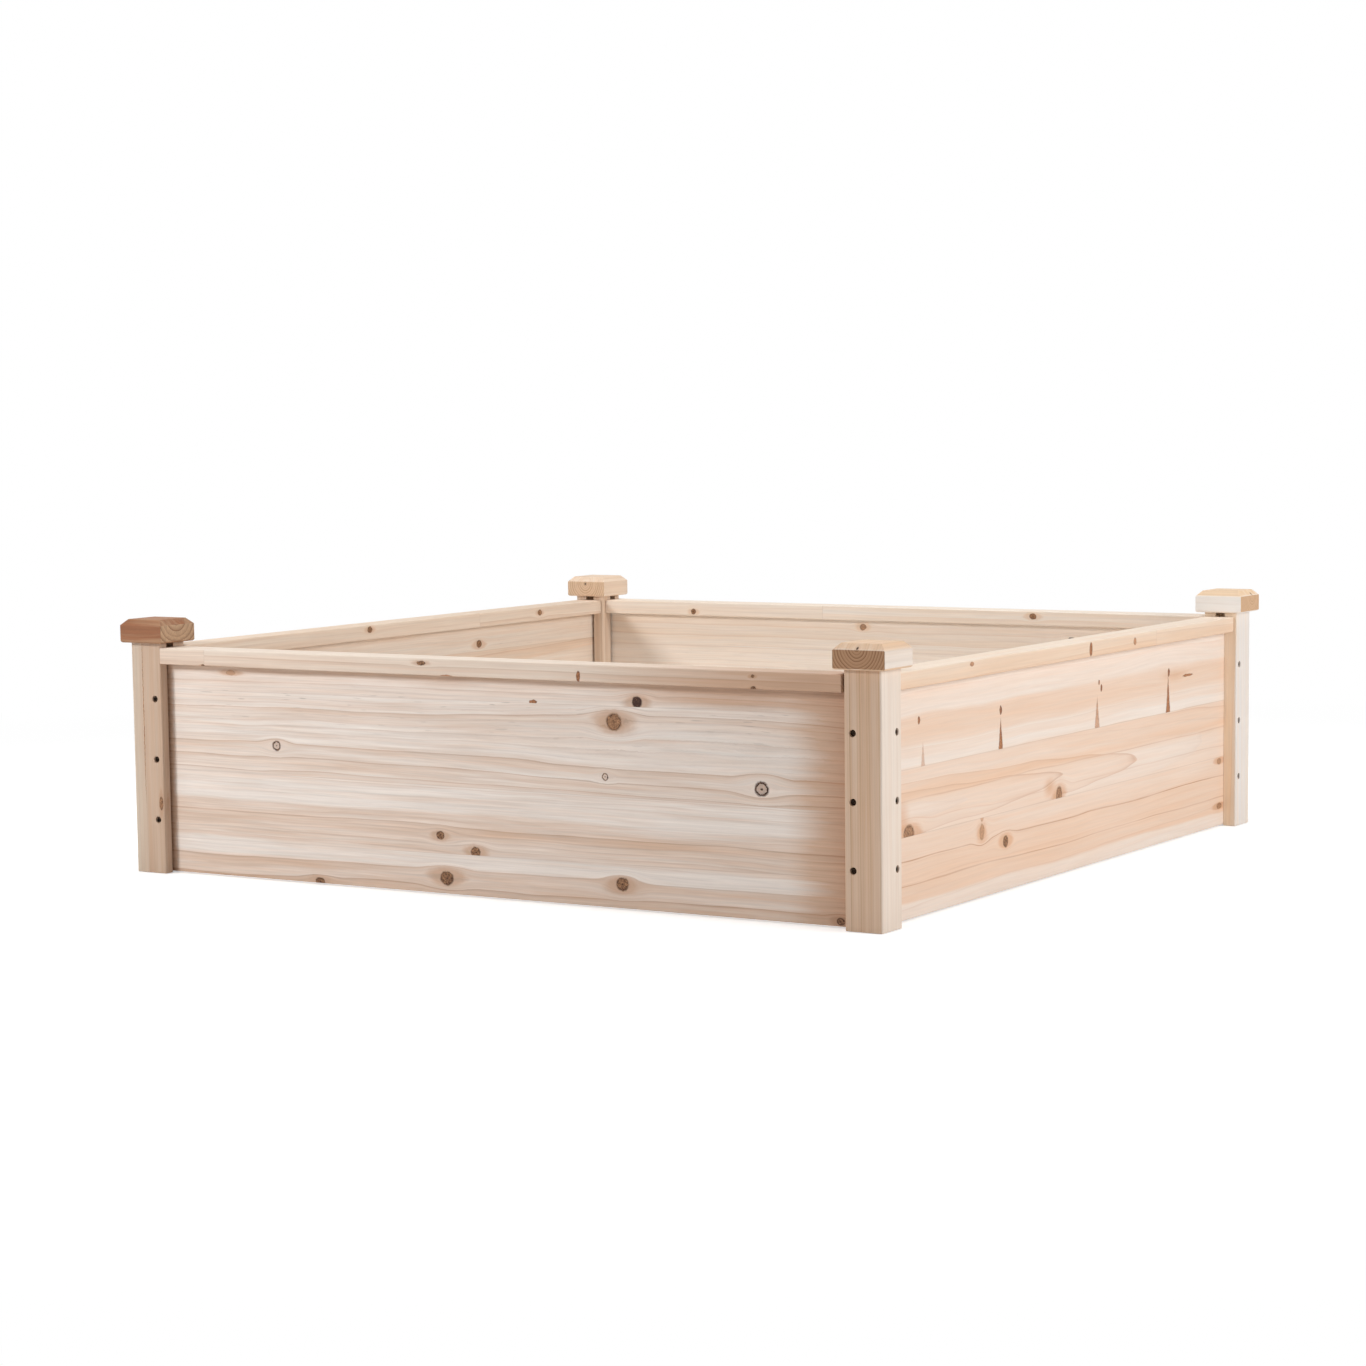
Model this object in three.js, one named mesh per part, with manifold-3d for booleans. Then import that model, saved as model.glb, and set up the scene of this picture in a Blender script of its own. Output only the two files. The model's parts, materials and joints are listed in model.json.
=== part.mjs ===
// A raised garden bed: a square, bottomless frame of planed, unfinished fir.
//
// Four grooved corner posts stand on the ground. A thin wall panel slides into the grooves of each
// pair of posts, and three screws through each end of the panel hold it there. A top rail with a
// groove along its underside is glued over each panel's upper edge, and a chamfered cap sits on
// each post, held by a dowel.
//
// Millimetres, +Z up. The origin is on the ground at the middle of the bed. The front wall faces
// -Y, and left and right are as seen by someone who stands in front of it.

import * as THREE from 'three';
import { mergeVertices } from 'three/addons/utils/BufferGeometryUtils.js';
import Module from 'manifold-3d';

const wasm = await Module();
wasm.setup();

// Driving dimensions

const BED_SIDE = 1000; // over the outer faces of the posts, both ways
const POST_SIDE = 44;
const POST_HEIGHT = 272.5;
const POST_ARRIS_RADIUS = 3.5;

const CAP_SIDE = 61.5;
const CAP_HEIGHT = 27.5;
const CAP_CHAMFER = 7;
const CAP_BOTTOM_EASE = 1.5;

const GROOVE_WIDTH = 12.5;
const POST_GROOVE_DEPTH = 15;
const PANEL_THICKNESS = 9;
const PANEL_BOTTOM = 1.5; // the panels stop just short of the ground
const PANEL_END_CLEARANCE = 1;
const PANEL_EDGE_EASE = 0.75;

const RAIL_WIDTH = 37;
const RAIL_HEIGHT = 19;
const RAIL_TOP = 267;
const RAIL_GROOVE_DEPTH = 7;
const RAIL_ARRIS_RADIUS = 1.75;

const SCREW_LENGTH = 28; // from the seat under the head to the tip
const SCREW_CORE_RADIUS = 1.7;
const SCREW_TIP_LENGTH = 5;
const SCREW_HEAD_RADIUS = 3.5;
const SCREW_HEAD_HEIGHT = 1.7;
const SCREW_CLEARANCE = 0.3;
const SCREW_SINK = 3; // depth of the counterbore that hides the head
const SCREW_FROM_INNER_EDGE = 10;
const SCREW_FIRST_HEIGHT = 63.5;
const SCREW_PITCH = 71.5;
const SCREWS_PER_END = 3;

const DOWEL_RADIUS = 4;
const DOWEL_LENGTH = 38;
const DOWEL_IN_CAP = 14;
const DOWEL_CLEARANCE = 0.3;

const ROUND_SEGMENTS = 12; // sides of a small round
const ARRIS_SEGMENTS = 4; // chords in a rounded arris

// Each wall's post grooves start at their own depth behind the posts' outer faces: the front and
// back ones are nearer the face, so that their screws miss the side walls' screws. The panel is
// thinner than its groove and leans against one side of it. A rail may stop short of one post.
const WALLS = {
  front: { turn: 0, setback: 11.5, panelPlay: 3.25, startGap: 0, endGap: 3 },
  right: { turn: 1, setback: 16.5, panelPlay: 0.25, startGap: 0.5, endGap: 0.5 },
  back: { turn: 2, setback: 11.5, panelPlay: 0.25, startGap: 0.5, endGap: 0.5 },
  left: { turn: 3, setback: 16.5, panelPlay: 0.25, startGap: 0.5, endGap: 0.5 },
};

// A corner's two signs say which side of the bed it is on, along X and along Y.
const CORNERS = {
  front_left: [-1, -1],
  front_right: [1, -1],
  back_right: [1, 1],
  back_left: [-1, 1],
};

const SCREW_LEVELS = ['low', 'mid', 'high'];

// Values that follow from them

const halfPost = POST_SIDE / 2;
const postCentre = BED_SIDE / 2 - halfPost;
const innerHalf = BED_SIDE / 2 - POST_SIDE; // from the middle of the bed to a post's inner face
const screwOffset = innerHalf + SCREW_FROM_INNER_EDGE;
const railBottom = RAIL_TOP - RAIL_HEIGHT;
const panelTop = railBottom + RAIL_GROOVE_DEPTH;
const screwHeights = SCREW_LEVELS.slice(0, SCREWS_PER_END).map(
  (level, row) => SCREW_FIRST_HEIGHT + row * SCREW_PITCH,
);

// Materials

function firMaterial(color) {
  return new THREE.MeshStandardMaterial({ color, roughness: 0.72, metalness: 0 });
}

const postFir = firMaterial('#cbb096');
const capFir = firMaterial('#bd9674');
const panelFir = firMaterial('#e0c9b3');
const railFir = firMaterial('#dcc0a6');
const dowelBeech = firMaterial('#d8b68c');
const blackenedSteel = new THREE.MeshStandardMaterial({
  color: '#4c433b',
  roughness: 0.45,
  metalness: 0.85,
});

// Cutting: a geometry becomes a solid, is cut, and becomes a geometry again.

function solidOf(geometry) {
  const bare = geometry.clone();
  bare.deleteAttribute('normal');
  bare.deleteAttribute('uv');
  const merged = mergeVertices(bare, 1e-4);
  return new wasm.Manifold(
    new wasm.Mesh({
      numProp: 3,
      vertProperties: new Float32Array(merged.attributes.position.array),
      triVerts: new Uint32Array(merged.index.array),
    }),
  );
}

function geometryOf(solid) {
  const mesh = solid.getMesh();
  const geometry = new THREE.BufferGeometry();
  geometry.setAttribute('position', new THREE.BufferAttribute(mesh.vertProperties, 3));
  geometry.setIndex(new THREE.BufferAttribute(mesh.triVerts, 1));
  geometry.computeVertexNormals();
  return geometry;
}

function cut(geometry, cutters) {
  let solid = solidOf(geometry);
  for (const cutter of cutters) {
    solid = solid.subtract(solidOf(cutter));
  }
  return geometryOf(solid);
}

// Adds a rounded corner to an outline that runs counterclockwise. The corner is at (x, y), and the
// outline turns from the heading fromAngle by a quarter turn to the left.
function roundedCorner(outline, x, y, radius, fromAngle) {
  const inward = fromAngle + (3 * Math.PI) / 4;
  const reach = radius * Math.SQRT2;
  const centreX = x + reach * Math.cos(inward);
  const centreY = y + reach * Math.sin(inward);
  const start = fromAngle - Math.PI / 2;
  for (let step = 0; step <= ARRIS_SEGMENTS; step += 1) {
    const angle = start + (step / ARRIS_SEGMENTS) * (Math.PI / 2);
    outline.push(
      new THREE.Vector2(centreX + radius * Math.cos(angle), centreY + radius * Math.sin(angle)),
    );
  }
}

// A screw runs along +Y from its seat, with its head on the -Y side.
function screwGeometry() {
  const recessRadius = 1.5;
  const recessDepth = 1.1;
  const rimEase = 0.5;
  const profile = [
    new THREE.Vector2(0, -SCREW_LENGTH),
    new THREE.Vector2(SCREW_CORE_RADIUS, SCREW_TIP_LENGTH - SCREW_LENGTH),
    new THREE.Vector2(SCREW_CORE_RADIUS, 0),
    new THREE.Vector2(SCREW_HEAD_RADIUS, 0),
    new THREE.Vector2(SCREW_HEAD_RADIUS, SCREW_HEAD_HEIGHT - rimEase),
    new THREE.Vector2(SCREW_HEAD_RADIUS - rimEase, SCREW_HEAD_HEIGHT),
    new THREE.Vector2(recessRadius, SCREW_HEAD_HEIGHT),
    new THREE.Vector2(0, SCREW_HEAD_HEIGHT - recessDepth),
  ];
  return new THREE.LatheGeometry(profile, ROUND_SEGMENTS).rotateX(Math.PI);
}

// The stepped hole for one screw: a counterbore for the head, then a bore past the tip. It runs
// along +Y from the outer face of the post, at y = 0.
function screwHoleGeometry() {
  const boreRadius = SCREW_CORE_RADIUS + SCREW_CLEARANCE;
  const mouthRadius = SCREW_HEAD_RADIUS + SCREW_CLEARANCE;
  const boreEnd = SCREW_SINK + SCREW_LENGTH + SCREW_CLEARANCE;
  const aboveFace = 1;
  const profile = [
    new THREE.Vector2(0, -boreEnd),
    new THREE.Vector2(boreRadius, -boreEnd),
    new THREE.Vector2(boreRadius, -SCREW_SINK),
    new THREE.Vector2(mouthRadius, -SCREW_SINK),
    new THREE.Vector2(mouthRadius, aboveFace),
    new THREE.Vector2(0, aboveFace),
  ];
  return new THREE.LatheGeometry(profile, ROUND_SEGMENTS).rotateX(Math.PI);
}

// A corner post's plan, in coordinates that grow towards the outside of the bed: both grooves are
// then on the negative faces, whatever the corner.
function postOutline() {
  const outline = [];
  const grooveFloor = POST_GROOVE_DEPTH - halfPost;
  const endStart = halfPost - WALLS.front.setback - GROOVE_WIDTH;
  const sideStart = halfPost - WALLS.right.setback - GROOVE_WIDTH;
  roundedCorner(outline, -halfPost, -halfPost, POST_ARRIS_RADIUS, -Math.PI / 2);
  outline.push(new THREE.Vector2(sideStart, -halfPost));
  outline.push(new THREE.Vector2(sideStart, grooveFloor));
  outline.push(new THREE.Vector2(sideStart + GROOVE_WIDTH, grooveFloor));
  outline.push(new THREE.Vector2(sideStart + GROOVE_WIDTH, -halfPost));
  roundedCorner(outline, halfPost, -halfPost, POST_ARRIS_RADIUS, 0);
  roundedCorner(outline, halfPost, halfPost, POST_ARRIS_RADIUS, Math.PI / 2);
  roundedCorner(outline, -halfPost, halfPost, POST_ARRIS_RADIUS, Math.PI);
  outline.push(new THREE.Vector2(-halfPost, endStart + GROOVE_WIDTH));
  outline.push(new THREE.Vector2(grooveFloor, endStart + GROOVE_WIDTH));
  outline.push(new THREE.Vector2(grooveFloor, endStart));
  outline.push(new THREE.Vector2(-halfPost, endStart));
  return outline;
}

// One post, on its own axis: the grooved bar, with a row of screw holes in each outer face and the
// dowel's hole in its top.
function postGeometry(signX, signY) {
  const plan = postOutline().map((point) => new THREE.Vector2(point.x * signX, point.y * signY));
  const bar = new THREE.ExtrudeGeometry(new THREE.Shape(plan), {
    depth: POST_HEIGHT,
    bevelEnabled: false,
  });
  const nearInnerEdge = SCREW_FROM_INNER_EDGE - halfPost;
  const cutters = [];
  for (const height of screwHeights) {
    const throughEndWall = screwHoleGeometry();
    if (signY > 0) {
      throughEndWall.rotateZ(Math.PI);
    }
    throughEndWall.translate(signX * nearInnerEdge, signY * halfPost, height);
    const throughSideWall = screwHoleGeometry().rotateZ((signX * Math.PI) / 2);
    throughSideWall.translate(signX * halfPost, signY * nearInnerEdge, height);
    cutters.push(throughEndWall, throughSideWall);
  }
  cutters.push(dowelHoleGeometry(POST_HEIGHT));
  return cut(bar, cutters);
}

// The blind hole for a dowel. The joint between post and cap is at jointHeight, and the dowel reaches
// deeper into the post, along its grain, than it does into the cap.
function dowelHoleGeometry(jointHeight) {
  const length = DOWEL_LENGTH + 2 * DOWEL_CLEARANCE;
  const middle = jointHeight + DOWEL_IN_CAP - DOWEL_LENGTH / 2;
  return new THREE.CylinderGeometry(
    DOWEL_RADIUS + DOWEL_CLEARANCE,
    DOWEL_RADIUS + DOWEL_CLEARANCE,
    length,
    ROUND_SEGMENTS,
  )
    .rotateX(Math.PI / 2)
    .translate(0, 0, middle);
}

function dowelGeometry() {
  const endEase = 0.8;
  const half = DOWEL_LENGTH / 2;
  const profile = [
    new THREE.Vector2(0, -half),
    new THREE.Vector2(DOWEL_RADIUS - endEase, -half),
    new THREE.Vector2(DOWEL_RADIUS, endEase - half),
    new THREE.Vector2(DOWEL_RADIUS, half - endEase),
    new THREE.Vector2(DOWEL_RADIUS - endEase, half),
    new THREE.Vector2(0, half),
  ];
  return new THREE.LatheGeometry(profile, ROUND_SEGMENTS).rotateX(Math.PI / 2);
}

// A post cap: a square block, chamfered at 45 degrees round its top and eased round its underside.
// Turning its half section with four steps, on the diagonal, gives the square form.
function capGeometry() {
  const corner = (CAP_SIDE / 2) * Math.SQRT2;
  const chamferReach = CAP_CHAMFER * Math.SQRT2;
  const profile = [
    new THREE.Vector2(0, 0),
    new THREE.Vector2(corner - CAP_BOTTOM_EASE * Math.SQRT2, 0),
    new THREE.Vector2(corner, CAP_BOTTOM_EASE),
    new THREE.Vector2(corner, CAP_HEIGHT - CAP_CHAMFER),
    new THREE.Vector2(corner - chamferReach, CAP_HEIGHT),
    new THREE.Vector2(0, CAP_HEIGHT),
  ];
  const block = new THREE.LatheGeometry(profile, 4, Math.PI / 4).rotateX(Math.PI / 2);
  return cut(block, [dowelHoleGeometry(0)]);
}

// A wall's pieces are made lying along X with the outside of the bed towards -Y, at the front
// wall's place. A turn about the middle of the bed then brings them to their own wall.

function panelGeometry(wall) {
  const outerFace = -BED_SIDE / 2 + wall.setback + wall.panelPlay;
  const innerFace = outerFace + PANEL_THICKNESS;
  const ease = PANEL_EDGE_EASE;
  const section = new THREE.Shape();
  section.moveTo(outerFace + ease, PANEL_BOTTOM);
  section.lineTo(innerFace - ease, PANEL_BOTTOM);
  section.lineTo(innerFace, PANEL_BOTTOM + ease);
  section.lineTo(innerFace, panelTop);
  section.lineTo(outerFace, panelTop);
  section.lineTo(outerFace, PANEL_BOTTOM + ease);
  const length = 2 * (innerHalf + POST_GROOVE_DEPTH - PANEL_END_CLEARANCE);
  const board = alongX(section, length, -length / 2);
  const cutters = [];
  for (const height of screwHeights) {
    for (const end of [-1, 1]) {
      cutters.push(screwHoleGeometry().translate(end * screwOffset, -BED_SIDE / 2, height));
    }
  }
  return cut(board, cutters);
}

// A rail's section: arrises rounded, with the groove for the panel's edge along the underside.
function railGeometry(wall) {
  const middle = -BED_SIDE / 2 + wall.setback + GROOVE_WIDTH / 2;
  const half = RAIL_WIDTH / 2;
  const grooveHalf = GROOVE_WIDTH / 2;
  const radius = RAIL_ARRIS_RADIUS;
  const outline = [];
  roundedCorner(outline, middle - half, railBottom, radius, -Math.PI / 2);
  outline.push(new THREE.Vector2(middle - grooveHalf, railBottom));
  outline.push(new THREE.Vector2(middle - grooveHalf, panelTop));
  outline.push(new THREE.Vector2(middle + grooveHalf, panelTop));
  outline.push(new THREE.Vector2(middle + grooveHalf, railBottom));
  roundedCorner(outline, middle + half, railBottom, radius, 0);
  roundedCorner(outline, middle + half, RAIL_TOP, radius, Math.PI / 2);
  roundedCorner(outline, middle - half, RAIL_TOP, radius, Math.PI);
  const length = 2 * innerHalf - wall.startGap - wall.endGap;
  return alongX(new THREE.Shape(outline), length, wall.startGap - innerHalf);
}

// Extrudes a section drawn in Y and Z along X, from the place startX.
function alongX(section, length, startX) {
  const bar = new THREE.ExtrudeGeometry(section, { depth: length, bevelEnabled: false });
  bar.rotateX(Math.PI / 2);
  bar.rotateZ(Math.PI / 2);
  return bar.translate(startX, 0, 0);
}

function addPiece(parent, name, geometry, material) {
  const piece = new THREE.Mesh(geometry, material);
  piece.name = name;
  parent.add(piece);
  return piece;
}

function addCorner(parent, corner, [signX, signY]) {
  const place = new THREE.Vector3(signX * postCentre, signY * postCentre, 0);
  const post = addPiece(parent, `post_${corner}`, postGeometry(signX, signY), postFir);
  post.position.copy(place);
  const cap = addPiece(parent, `cap_${corner}`, capGeometry(), capFir);
  cap.position.copy(place).setZ(POST_HEIGHT);
  const dowel = addPiece(parent, `cap_dowel_${corner}`, dowelGeometry(), dowelBeech);
  dowel.position.copy(place).setZ(POST_HEIGHT + DOWEL_IN_CAP - DOWEL_LENGTH / 2);
}

function addWall(parent, side, wall) {
  const assembly = new THREE.Group();
  assembly.rotation.z = (wall.turn * Math.PI) / 2;
  parent.add(assembly);
  addPiece(assembly, `panel_${side}`, panelGeometry(wall), panelFir);
  addPiece(assembly, `rail_${side}`, railGeometry(wall), railFir);
  const ends = [
    ['start', -1],
    ['end', 1],
  ];
  for (const [endName, end] of ends) {
    screwHeights.forEach((height, row) => {
      const name = `screw_${side}_${endName}_${SCREW_LEVELS[row]}`;
      const screw = addPiece(assembly, name, screwGeometry(), blackenedSteel);
      screw.position.set(end * screwOffset, SCREW_SINK - BED_SIDE / 2, height);
    });
  }
}

const bed = new THREE.Group();
for (const [corner, signs] of Object.entries(CORNERS)) {
  addCorner(bed, corner, signs);
}
for (const [side, wall] of Object.entries(WALLS)) {
  addWall(bed, side, wall);
}

export default bed;
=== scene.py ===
import json
import math

import bmesh
import bpy
from mathutils import Euler, Matrix, Vector

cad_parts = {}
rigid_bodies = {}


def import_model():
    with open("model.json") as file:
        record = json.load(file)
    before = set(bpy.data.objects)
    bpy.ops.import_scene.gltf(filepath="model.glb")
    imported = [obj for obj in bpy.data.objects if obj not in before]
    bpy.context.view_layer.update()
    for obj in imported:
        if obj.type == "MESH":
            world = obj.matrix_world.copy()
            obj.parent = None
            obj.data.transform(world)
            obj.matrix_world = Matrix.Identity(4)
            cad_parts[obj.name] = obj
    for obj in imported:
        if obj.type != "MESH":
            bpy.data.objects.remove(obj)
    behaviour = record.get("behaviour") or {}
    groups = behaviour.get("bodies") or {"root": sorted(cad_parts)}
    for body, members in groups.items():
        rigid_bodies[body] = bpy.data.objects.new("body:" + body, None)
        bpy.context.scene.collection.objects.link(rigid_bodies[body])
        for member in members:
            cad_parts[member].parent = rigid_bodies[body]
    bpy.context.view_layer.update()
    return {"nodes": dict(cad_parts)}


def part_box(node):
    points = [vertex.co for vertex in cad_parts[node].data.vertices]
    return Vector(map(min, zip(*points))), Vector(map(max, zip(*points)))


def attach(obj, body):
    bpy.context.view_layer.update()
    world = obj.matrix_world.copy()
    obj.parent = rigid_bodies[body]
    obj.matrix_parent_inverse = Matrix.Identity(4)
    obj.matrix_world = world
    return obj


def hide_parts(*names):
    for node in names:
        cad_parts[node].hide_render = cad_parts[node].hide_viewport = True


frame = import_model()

# The camera: a long lens at a standing person's height, turned to the bed's front right corner.
# The frame's middle lies above the line of sight, so the lens is shifted instead of tilted.

heading, pitch, roll = (math.radians(angle) for angle in (-31.53, -6.30, -0.66))
sight = Vector((math.sin(heading) * math.cos(pitch), math.cos(heading) * math.cos(pitch), math.sin(pitch)))
level = Vector((math.cos(heading), -math.sin(heading), 0))
upward = level.cross(sight)
right = level * math.cos(roll) + upward * math.sin(roll)
top = upward * math.cos(roll) - level * math.sin(roll)

camera_data = bpy.data.cameras.new("camera")
camera_data.sensor_width = 36
camera_data.lens = 87.02
camera_data.shift_y = 0.0564
camera_data.clip_end = 50
camera = bpy.data.objects.new("camera", camera_data)
turned_to_bed = Matrix((right, top, -sight)).transposed().to_4x4()
camera.matrix_world = Matrix.Translation((2.084, -3.471, 0.554)) @ turned_to_bed
bpy.context.scene.collection.objects.link(camera)
bpy.context.scene.camera = camera
bpy.context.scene.view_settings.view_transform = "Standard"


# The light: a white studio with three soft lamps. The one at the right makes the right walls the
# bright ones, a small, low one at the left leaves the front walls in half shade, and a wide one hangs
# overhead. The view shows the studio as plain white.

def add(tree, kind, *values, sockets=None, **settings):
    """Adds a shader node: its settings, then its inputs in order or by name, as numbers or links."""
    node = tree.nodes.new("ShaderNode" + kind)
    for name, value in settings.items():
        setattr(node, name, value)
    for socket, value in [*enumerate(values), *(sockets or {}).items()]:
        if isinstance(value, bpy.types.Node):
            value = next(output for output in value.outputs if output.enabled)
        if isinstance(value, bpy.types.NodeSocket):
            tree.links.new(value, node.inputs[socket])
        else:
            node.inputs[socket].default_value = value
    return node


def new_material(name):
    """Makes a material without nodes, and returns it and its node tree."""
    material = bpy.data.materials.new(name)
    material.use_nodes = True
    material.node_tree.nodes.clear()
    return material, material.node_tree


def seen_directly(tree):
    """1 for what the camera sees, straight or through gloss and glass, and 0 for what lights the bed."""
    ray = add(tree, "LightPath")
    seen = add(tree, "Math", ray.outputs["Is Camera Ray"], ray.outputs["Is Glossy Ray"], operation="ADD")
    return add(tree, "Math", seen, ray.outputs["Is Transmission Ray"], operation="ADD", use_clamp=True)


studio = bpy.data.worlds.new("studio")
studio.use_nodes = True
bpy.context.scene.world = studio
tree = studio.node_tree
tree.nodes.clear()
walls = add(tree, "Background", (1, 1, 1, 1), 0.2)
seen_walls = add(tree, "Background", (1, 1, 1, 1), 1.0)
shown = add(tree, "MixShader", seen_directly(tree), walls, seen_walls)
add(tree, "OutputWorld", shown)


def soft_lamp(name, place, aim, size, power):
    """Adds a round lamp, its size in m and its power in W, turned to the point that it aims at."""
    data = bpy.data.lights.new(name, "AREA")
    data.shape = "DISK"
    data.size = size
    data.energy = power
    lamp = bpy.data.objects.new(name, data)
    lamp.location = place
    lamp.rotation_euler = (Vector(place) - Vector(aim)).to_track_quat("Z", "Y").to_euler()
    bpy.context.scene.collection.objects.link(lamp)


soft_lamp("key_lamp", (3.4, 0.15, 1.3), (0, 0, 0.15), 1.6, 54)
soft_lamp("front_lamp", (-1.45, -2.2, 1.15), (-0.2, -0.4, 0.15), 0.5, 29)
soft_lamp("top_lamp", (0, 0, 3), (0, 0, 0), 2.4, 48)

floor_mesh = bpy.data.meshes.new("floor")
ground = bmesh.new()
bmesh.ops.create_circle(ground, cap_ends=True, segments=96, radius=14)
ground.to_mesh(floor_mesh)
ground.free()
floor = bpy.data.objects.new("floor", floor_mesh)
floor.location.z = -0.0005
bpy.context.scene.collection.objects.link(floor)

# Near the bed the paper shows its shadow. From 1 to 2.2 m out it fades to plain white.

paper, tree = new_material("white background paper")
sheet = add(tree, "BsdfDiffuse", (0.86, 0.86, 0.86, 1))
glow = add(tree, "Emission", (1, 1, 1, 1), 0.45)
lit_sheet = add(tree, "AddShader", sheet, glow)
far_away = add(tree, "VectorMath", add(tree, "TexCoord").outputs["Object"], operation="LENGTH")
fade = add(tree, "MapRange", far_away, 1.0, 2.2, 0.0, 1.0, interpolation_type="SMOOTHSTEP")
plain_white = add(tree, "Emission", (1, 1, 1, 1), 1.0)
seen_sheet = add(tree, "MixShader", fade, lit_sheet, plain_white)
add(tree, "OutputMaterial", add(tree, "MixShader", seen_directly(tree), sheet, seen_sheet))
floor_mesh.materials.append(paper)


# The corner posts: four 44 mm bars of planed fir, with rounded arrises, ploughed with a groove in
# each of the two inner faces and counterbored for three screws in each of the two outer ones.
# Planed, unfinished fir is pale and silky, with thin tan lines where each year's late wood ends.

def hex_colour(code):
    """An sRGB colour such as e6d2bd as the linear colour that a shader takes."""
    parts = [int(code[at:at + 2], 16) / 255 for at in (0, 2, 4)]
    return (*(p / 12.92 if p <= 0.04045 else ((p + 0.055) / 1.055) ** 2.4 for p in parts), 1)


def ramp(tree, factor, stops, curve="LINEAR"):
    """A colour ramp; a stop is a position and a grey level, or a position and a colour."""
    node = add(tree, "ValToRGB", factor)
    node.color_ramp.interpolation = curve
    elements = node.color_ramp.elements
    while len(elements) < len(stops):
        elements.new(0.5)
    for element, (position, colour) in zip(elements, stops):
        element.position = position
        element.color = colour if isinstance(colour, tuple) else (colour, colour, colour, 1)
    return node


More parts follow.
